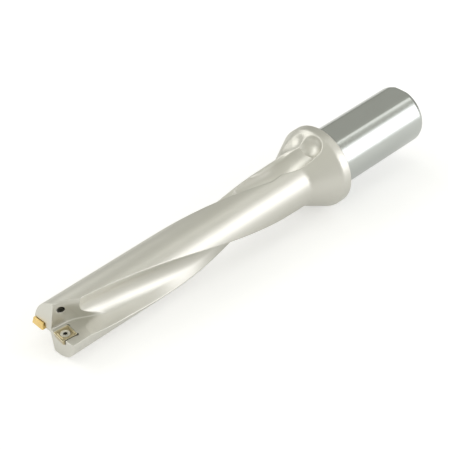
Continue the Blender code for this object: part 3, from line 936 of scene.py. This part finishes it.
@dataclass
class Screw:
    """A countersunk screw with a six-lobe socket, whose head sits in its insert."""

    name: str
    seat: Seat
    head: float = 1.85
    neck: float = 1.0
    length: float = 3.7
    point: float = 0.35
    cone_angle: float = math.radians(30.0)
    sunk: float = 0.15
    socket: float = 0.78
    lobe: float = 0.15
    depth: float = 0.8
    steps: int = 96
    sharp: float = math.radians(35.0)

    def rows(self, bearing: Array) -> list[tuple[Array, float, float]]:
        """The screw's profile from the socket's floor out over the head and down to its end.

        The socket's radius at a bearing t is socket plus lobe times cos 6t.

        Args:
            bearing: The bearings round the screw.

        Returns:
            Rows of radii, a height and the mask of bright metal: 0 in the socket, which is painted dark as
            painted shade, and about a half on the cone and shank under the head, also painted shade.
        """
        lobes, ring = np.cos(6 * bearing), np.ones(len(bearing))
        lobed, head, neck = self.socket + self.lobe * lobes, self.head, self.neck
        cone = (head - neck) / math.tan(self.cone_angle)
        return [
            (0.02 * ring, -self.depth - 0.12, 0.0),
            (0.55 * lobed, -self.depth - 0.05, 0.0),
            (0.96 * lobed, -self.depth, 0.0),
            (lobed, -self.depth + 0.06, 0.0),
            (lobed, -0.09, 0.2),
            (lobed + 0.02, -0.04, 0.8),
            (lobed + 0.07, -0.005, 1.0),
            (1.25 + 0.03 * lobes, 0.0, 1.0),
            (1.5 * ring, 0.0, 1.0),
            ((head - 0.1) * ring, 0.0, 1.0),
            ((head - 0.03) * ring, -0.03, 1.0),
            (head * ring, -0.1, 1.0),
            (head * ring, -0.16, 1.0),
            (neck * ring, -0.16 - cone, 0.6),
            (neck * ring, -self.length + self.point, 0.5),
            ((neck - self.point) * ring, -self.length, 0.5),
            (0.02 * ring, -self.length, 0.5),
        ]

    def build(self) -> bpy.types.Object:
        """Loft the profile's rows and close both poles with a fan.

        Returns:
            The screw's object.
        """
        bearing = np.linspace(0, 2 * np.pi, self.steps, endpoint=False)
        rows = self.rows(bearing)
        rings = np.stack([np.column_stack((r * np.cos(bearing), r * np.sin(bearing), np.full(self.steps, h)))
                          for r, h, _ in rows])
        rings[..., 2] -= self.sunk
        points = np.vstack((rings.reshape(-1, 3), rings[0].mean(0), rings[-1].mean(0)))
        # The mask paints shade: dark in the socket, half dark at the screw's end, bright on the head.
        bright = np.append(np.repeat([b for _, _, b in rows], self.steps), (0.0, 0.5))
        number = np.arange(len(rows) * self.steps).reshape(len(rows), self.steps)
        first, last, pole = number[0], number[-1], np.full(self.steps, number.size)
        gap = np.full(self.steps, -1)
        faces = np.vstack((rings_to_skin(rings, closed=False)[:, ::-1],
                           np.column_stack((first, np.roll(first, -1), pole, gap)),
                           np.column_stack((np.roll(last, -1), last, pole + 1, gap))))
        skin = Skin(self.seat.to_drill(points), faces, masks={"bright": bright})
        made = skin.to_object(self.name + "_head", self.sharp)
        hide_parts(self.name)
        return made


class Nodes:
    """A short way to add and join shader nodes in one tree."""

    def __init__(self, tree: bpy.types.NodeTree) -> None:
        """Keep the tree."""
        self.tree = tree

    def add(self, kind: str, inputs: dict[str | int, object] | None = None,
            **settings: object) -> bpy.types.Node:
        """Add a node, set its properties, and set or join its inputs.

        Args:
            kind: The node's type.
            inputs: Values or output sockets by input name or number.
            **settings: Properties of the node.

        Returns:
            The node.
        """
        node = self.tree.nodes.new(kind)
        for key, value in settings.items():
            setattr(node, key, value)
        for key, value in (inputs or {}).items():
            if isinstance(value, bpy.types.NodeSocket):
                self.tree.links.new(value, node.inputs[key])
            else:
                node.inputs[key].default_value = value
        return node

    def math(self, operation: str, a: object, b: object = 0.0,
             clamp: bool = False) -> bpy.types.NodeSocket:
        """A Math node's output."""
        return self.add("ShaderNodeMath", {0: a, 1: b}, operation=operation, use_clamp=clamp).outputs[0]

    def mix(self, share: object, a: object, b: object) -> bpy.types.NodeSocket:
        """A colour between two colours."""
        node = self.add("ShaderNodeMix", {0: share, 6: a, 7: b}, data_type="RGBA")
        return node.outputs[2]


def grain_group() -> bpy.types.NodeTree:
    """Fine grain with soft cloudy patches, for every metal.

    Its inputs are the coordinates, the grain's scale per metre and how far it is drawn out round the axis.
    It puts out a Cloud mask that changes slowly, and a Grain mask for bump and roughness.

    Returns:
        The node group.
    """
    tree = bpy.data.node_groups.new("metal_grain", "ShaderNodeTree")
    for name, kind, value in (("Vector", "NodeSocketVector", None),
                              ("Grain Scale", "NodeSocketFloat", 2500.0),
                              ("Cloud Scale", "NodeSocketFloat", 60.0), ("Draw", "NodeSocketFloat", 1.0)):
        socket = tree.interface.new_socket(name, in_out="INPUT", socket_type=kind)
        if value is not None:
            socket.default_value = value
    for name in ("Cloud", "Grain"):
        tree.interface.new_socket(name, in_out="OUTPUT", socket_type="NodeSocketFloat")
    nodes = Nodes(tree)
    given = nodes.add("NodeGroupInput")
    parts = nodes.add("ShaderNodeSeparateXYZ", {0: given.outputs["Vector"]})
    along = nodes.math("MULTIPLY", parts.outputs[0], given.outputs["Draw"])
    drawn = nodes.add("ShaderNodeCombineXYZ", {0: along, 1: parts.outputs[1], 2: parts.outputs[2]})
    grain = nodes.add("ShaderNodeTexNoise", {"Vector": drawn.outputs[0],
                                             "Scale": given.outputs["Grain Scale"],
                                             "Detail": 3.0, "Roughness": 0.6})
    cloud = nodes.add("ShaderNodeTexNoise", {"Vector": given.outputs["Vector"],
                                             "Scale": given.outputs["Cloud Scale"],
                                             "Detail": 2.0, "Roughness": 0.5})
    result = nodes.add("NodeGroupOutput")
    tree.links.new(cloud.outputs["Fac"], result.inputs["Cloud"])
    tree.links.new(grain.outputs["Fac"], result.inputs["Grain"])
    return tree


@dataclass(frozen=True)
class Finish:
    """One metal finish: two colours between which the cloud goes, gloss, grain and bump.

    The grain's and the cloud's scales count patches per metre, the grain is drawn out round the axis by
    draw, and bump is its height in millimetres. An accent takes over where the mask attribute is 1: on the
    inserts it is a painted highlight along the honed edge, and on the screws it is their own bright steel,
    whose base colours are painted shade.
    """

    name: str
    colour: Point
    other: Point
    roughness: float
    roughness_swing: float
    grain_scale: float
    cloud_scale: float
    draw: float
    bump: float
    accent: Point | None = None
    mask: str = ""
    accent_roughness: float = 0.3
    bump_strength: float = 0.6

    def build(self, grain: bpy.types.NodeTree) -> bpy.types.Material:
        """Make the material, with the grain's pattern turned to the drill's axis.

        Args:
            grain: The shared grain group.

        Returns:
            The material.
        """
        material = bpy.data.materials.new(self.name)
        material.use_nodes = True
        tree = material.node_tree
        shader = tree.nodes["Principled BSDF"]
        shader.inputs["Metallic"].default_value = 1.0
        nodes = Nodes(tree)
        place = nodes.add("ShaderNodeTexCoord")
        turned = nodes.add("ShaderNodeMapping", {"Vector": place.outputs["Object"],
                                                 "Rotation": (0.0, LYING.tilt, 0.0)})
        group = nodes.add("ShaderNodeGroup", node_tree=grain)
        tree.links.new(turned.outputs[0], group.inputs["Vector"])
        group.inputs["Grain Scale"].default_value = self.grain_scale
        group.inputs["Cloud Scale"].default_value = self.cloud_scale
        group.inputs["Draw"].default_value = self.draw
        colour = nodes.mix(group.outputs["Cloud"], (*self.colour, 1.0), (*self.other, 1.0))
        centred = nodes.math("SUBTRACT", group.outputs["Grain"], 0.5)
        swing = nodes.math("MULTIPLY", centred, self.roughness_swing)
        rough = nodes.math("ADD", swing, self.roughness, clamp=True)
        # The accent paints a highlight on the inserts' edges, and the screws' bright steel beside their
        # painted shade.
        if self.accent is not None:
            share = nodes.add("ShaderNodeAttribute", attribute_name=self.mask).outputs["Fac"]
            colour = nodes.mix(share, colour, (*self.accent, 1.0))
            change = nodes.math("MULTIPLY", share, self.accent_roughness - self.roughness)
            rough = nodes.math("ADD", rough, change, clamp=True)
        bump = nodes.add("ShaderNodeBump", {"Strength": self.bump_strength, "Distance": self.bump * MM,
                                            "Height": group.outputs["Grain"]})
        tree.links.new(colour, shader.inputs["Base Color"])
        tree.links.new(rough, shader.inputs["Roughness"])
        tree.links.new(bump.outputs[0], shader.inputs["Normal"])
        return material


NICKEL = Finish("satin_nickel", (0.70, 0.69, 0.64), (0.645, 0.635, 0.58), roughness=0.43,
                roughness_swing=0.10, grain_scale=1600.0, cloud_scale=55.0, draw=2.0, bump=0.012)
GROUND = Finish("ground_shank", (0.56, 0.58, 0.56), (0.51, 0.53, 0.505), roughness=0.23,
                roughness_swing=0.14, grain_scale=900.0, cloud_scale=60.0, draw=14.0, bump=0.010)
# Both coatings' accent is a painted highlight along the inserts' honed edge and land.
COATING = Finish("gold_coating", (0.52, 0.45, 0.29), (0.44, 0.37, 0.22), roughness=0.33,
                 roughness_swing=0.12, grain_scale=4200.0, cloud_scale=500.0, draw=1.0, bump=0.008,
                 accent=(0.95, 0.88, 0.66), mask="edge_highlight", accent_roughness=0.30)
GOLD = Finish("bright_gold_coating", (0.86, 0.66, 0.30), (0.80, 0.56, 0.20), roughness=0.34,
              roughness_swing=0.12, grain_scale=4200.0, cloud_scale=500.0, draw=1.0, bump=0.008,
              accent=(0.95, 0.82, 0.50), mask="edge_highlight", accent_roughness=0.25)
# The screw's base colours are painted shade in its socket and under its head; its own steel is the bright
# accent.
SCREW_AND_PAINTED_SHADE = Finish("screw_steel", (0.10, 0.09, 0.07), (0.07, 0.06, 0.05), roughness=0.35,
               roughness_swing=0.10, grain_scale=3000.0, cloud_scale=300.0, draw=1.0, bump=0.006,
               accent=(0.90, 0.88, 0.80), mask="bright", accent_roughness=0.28)


@dataclass(frozen=True)
class Softbox:
    """One area light that faces the drill from a direction, with its size in metres and power in watts."""

    name: str
    towards: Point
    size: tuple[float, float]
    power: float
    colour: Point = (1.0, 1.0, 1.0)
    distance: float = 0.9

    def hang(self) -> None:
        """Put the light in its place."""
        data = bpy.data.lights.new(self.name, "AREA")
        data.shape = "RECTANGLE"
        data.size, data.size_y = self.size
        data.energy = self.power
        data.color = self.colour
        made = bpy.data.objects.new(self.name, data)
        way = Vector(self.towards).normalized()
        facing = way.to_track_quat("Z", "Y").to_matrix().to_4x4()
        made.matrix_world = Matrix.Translation(way * self.distance) @ facing
        bpy.context.scene.collection.objects.link(made)


@dataclass
class Studio:
    """The photograph's camera, a white floor that keeps the shadow, and plain soft lights."""

    place: Point = (-0.332895, -0.333855, 0.359789)
    azimuth: float = math.radians(-44.147)
    elevation: float = math.radians(36.601)
    lens: float = 120.04
    sensor: float = 36.0
    level: float = 0.50
    brighter_towards: Point = (-0.13, -0.06, 0.22)
    surround: Point = (1.0, 1.0, 0.92)
    floor_reach: float = 6.0
    floor_grey: float = 0.78
    floor_glow: float = 0.40
    gloss_places: tuple[float, float] = (-0.16, -0.05)
    gloss_glows: tuple[float, float] = (0.44, 0.22)
    softboxes: tuple[Softbox, ...] = (
        Softbox("front_softbox", (0.56, -0.76, 0.33), (0.66, 0.60), 2.5, (0.99, 0.985, 1.03)),
        Softbox("strip_softbox", (0.56, -0.15, 0.81), (0.11, 0.90), 0.40),
        Softbox("back_softbox", (-0.25, 0.66, 0.64), (1.10, 0.50), 2.2),
    )

    def camera(self) -> None:
        """Set the camera up at the photograph's viewing angle, for a frame as high as it is wide."""
        cos_a, sin_a = math.cos(self.azimuth), math.sin(self.azimuth)
        cos_e, sin_e = math.cos(self.elevation), math.sin(self.elevation)
        right = Vector((cos_a, sin_a, 0))
        up = Vector((-sin_a * sin_e, cos_a * sin_e, cos_e))
        ahead = Vector((-sin_a * cos_e, cos_a * cos_e, -sin_e))
        data = bpy.data.cameras.new("photo_camera")
        data.sensor_width = self.sensor
        data.lens = self.lens
        data.clip_start = 0.01
        made = bpy.data.objects.new("photo_camera", data)
        axes = Matrix((right, up, -ahead)).transposed().to_4x4()
        made.matrix_world = Matrix.Translation(self.place) @ axes
        bpy.context.scene.collection.objects.link(made)
        bpy.context.scene.camera = made

    def world(self) -> None:
        """Give a grey surround, a little brighter above and before the tip, and white for the camera."""
        world = bpy.data.worlds.new("surround")
        bpy.context.scene.world = world
        world.use_nodes = True
        tree = world.node_tree
        tree.nodes.clear()
        nodes = Nodes(tree)
        path = nodes.add("ShaderNodeLightPath")
        way = nodes.add("ShaderNodeTexCoord")
        fall = nodes.add("ShaderNodeVectorMath", {0: way.outputs["Generated"], 1: self.brighter_towards},
                         operation="DOT_PRODUCT")
        level = nodes.math("ADD", fall.outputs["Value"], self.level)
        grey = nodes.add("ShaderNodeBackground", {"Color": (*self.surround, 1.0), "Strength": level})
        white = nodes.add("ShaderNodeBackground", {"Color": (1.0, 1.0, 1.0, 1.0), "Strength": 1.0})
        mixed = nodes.add("ShaderNodeMixShader", {0: path.outputs["Is Camera Ray"], 1: grey.outputs[0],
                                                  2: white.outputs[0]})
        nodes.add("ShaderNodeOutputWorld", {"Surface": mixed.outputs[0]})

    def floor(self) -> None:
        """Lay a wide floor that glows for the camera up to white, and for gloss more towards the tip."""
        size = self.floor_reach
        mesh = bpy.data.meshes.new("floor")
        corners = [(-size, -size, 0), (size, -size, 0), (size, size, 0), (-size, size, 0)]
        mesh.from_pydata(corners, [], [(0, 1, 2, 3)])
        made = bpy.data.objects.new("floor", mesh)
        bpy.context.scene.collection.objects.link(made)
        material = bpy.data.materials.new("white_floor")
        material.use_nodes = True
        tree = material.node_tree
        tree.nodes.clear()
        nodes = Nodes(tree)
        path = nodes.add("ShaderNodeLightPath")
        matt = nodes.add("ShaderNodeBsdfDiffuse", {"Color": (*(self.floor_grey,) * 3, 1.0)})
        seen = nodes.math("MULTIPLY", path.outputs["Is Camera Ray"], self.floor_glow)
        place = nodes.add("ShaderNodeTexCoord")
        along = nodes.add("ShaderNodeSeparateXYZ", {0: place.outputs["Object"]})
        shade = nodes.add("ShaderNodeMapRange", {0: along.outputs[0], 1: self.gloss_places[0],
                                                 2: self.gloss_places[1], 3: self.gloss_glows[0],
                                                 4: self.gloss_glows[1]})
        mirrored = nodes.math("MULTIPLY", path.outputs["Is Glossy Ray"], shade.outputs[0])
        glow = nodes.add("ShaderNodeEmission", {"Color": (1.0, 1.0, 1.0, 1.0),
                                                "Strength": nodes.math("ADD", seen, mirrored)})
        both = nodes.add("ShaderNodeAddShader", {0: matt.outputs[0], 1: glow.outputs[0]})
        nodes.add("ShaderNodeOutputMaterial", {"Surface": both.outputs[0]})
        mesh.materials.append(material)

    def build(self) -> None:
        """Set the whole studio."""
        self.camera()
        self.world()
        self.floor()
        for softbox in self.softboxes:
            softbox.hang()
        bpy.context.scene.view_settings.view_transform = "Standard"


def seats() -> tuple[Seat, Seat]:
    """The two inserts' seats, from the same sizes as the solids.

    Each insert stands out past the tip by a little, and the outer one past the bar's side as well.

    Returns:
        The centre insert's seat and the outer one's.
    """
    tip, half = Body.tip, Body.insert_half
    centre = Seat(Side.CENTRE, (tip - 0.65 + half, -3.6, 0.15), math.radians(-6.5))
    turn = math.radians(-2.0)
    outer = Seat(Side.OUTER, (tip - 1.25 + half, 11.0 - half * math.cos(turn), -1.35), turn, slit=0.35,
                 open_side=True)
    return centre, outer


def main() -> None:
    """Build the studio and every piece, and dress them."""
    logging.basicConfig(level=logging.INFO, format="%(message)s")
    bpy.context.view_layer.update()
    Studio().build()
    grain = grain_group()
    nickel, ground, coating, gold, screw_steel = (
        finish.build(grain) for finish in (NICKEL, GROUND, COATING, GOLD, SCREW_AND_PAINTED_SHADE))

    centre, outer = seats()
    body = Body()
    distance = body.distance((centre, outer))
    split = body.tip + body.tip_length
    for name, net in (("cutting_tip", Net(cell=0.16, reach=11.6, start=body.tip - 0.4, end=split)),
                      ("fluted_body", Net(cell=0.33, reach=11.6, start=split, end=body.neck)),
                      ("collar_and_cone", Net(cell=0.24, reach=17.8, start=body.neck, end=0.0))):
        made = net.build(distance).to_object(name)
        made.data.materials.append(nickel)
        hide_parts("drill_body")
        LOG.info("%s: %d faces", name, len(made.data.polygons))

    shank = Shank().build()
    shank.data.materials.append(ground)
    LOG.info("%s: %d faces", shank.name, len(shank.data.polygons))
    for name, seat, material in (("centre_insert", centre, coating), ("outer_insert", outer, gold)):
        insert = Insert(name, seat).build()
        insert.data.materials.append(material)
        screw = Screw(name + "_screw", seat).build()
        screw.data.materials.append(screw_steel)
        faces = len(insert.data.polygons) + len(screw.data.polygons)
        LOG.info("%s and %s: %d faces", insert.name, screw.name, faces)


if __name__ == "__main__":
    main()
